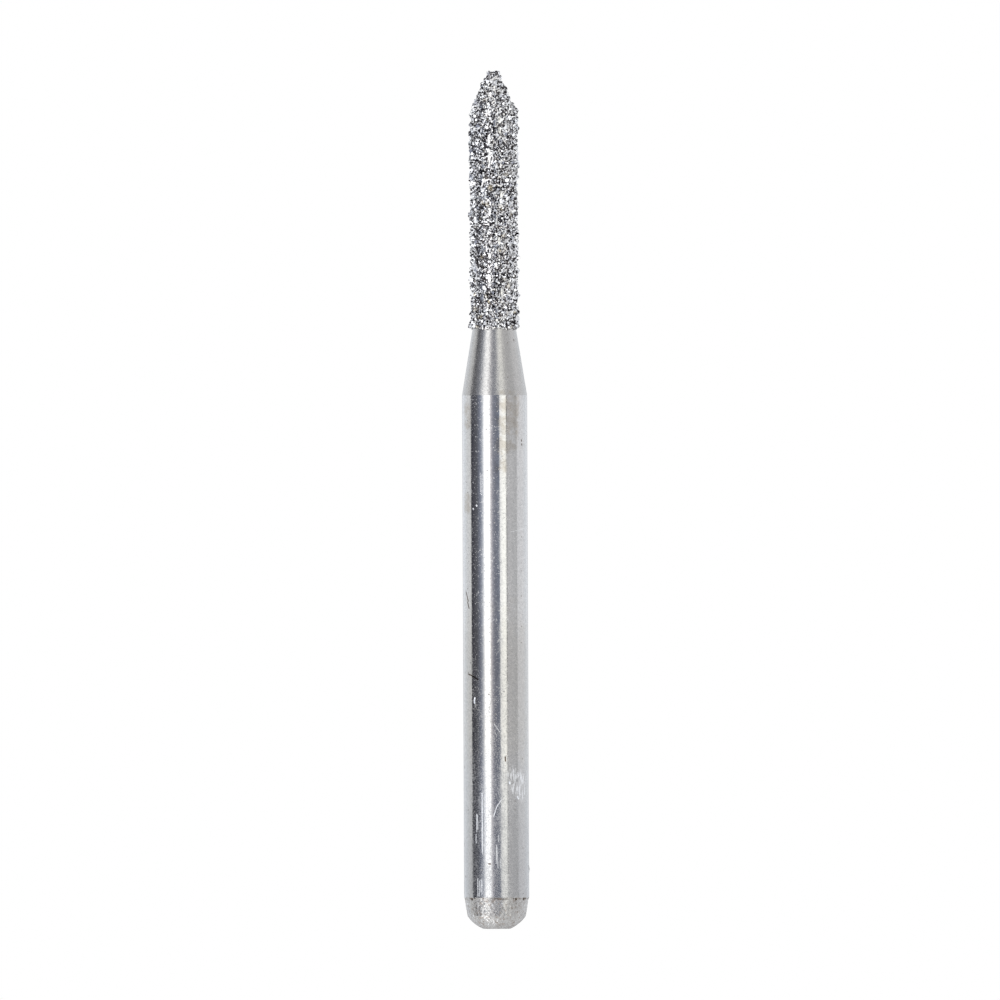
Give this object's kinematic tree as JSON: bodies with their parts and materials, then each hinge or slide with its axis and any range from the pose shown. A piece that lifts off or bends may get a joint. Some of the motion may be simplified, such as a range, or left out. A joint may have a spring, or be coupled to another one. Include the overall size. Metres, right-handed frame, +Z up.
{
  "type": "dental bur",
  "caption": "Straight round shank that tapers through a short neck to a slim cylindrical head with a conical point, the head coated all over with diamond grit.",
  "frame": {"origin": "middle of the flat on the shank's end", "axes": "+Z up the axis from the shank's end to the point of the head; +X to the right as the picture shows it and +Y away from the camera"},
  "size_m": [0.0016, 0.0016, 0.0211],
  "materials": {
    "steel": "ground and polished shank, satin neck, matt pitted end",
    "grit": "coarse sparkling diamond grains in a dull nickel bond"
  },
  "bodies": {
    "root": {"steel_shank": "steel", "diamond_coating": "grit"}
  },
  "joints": []
}
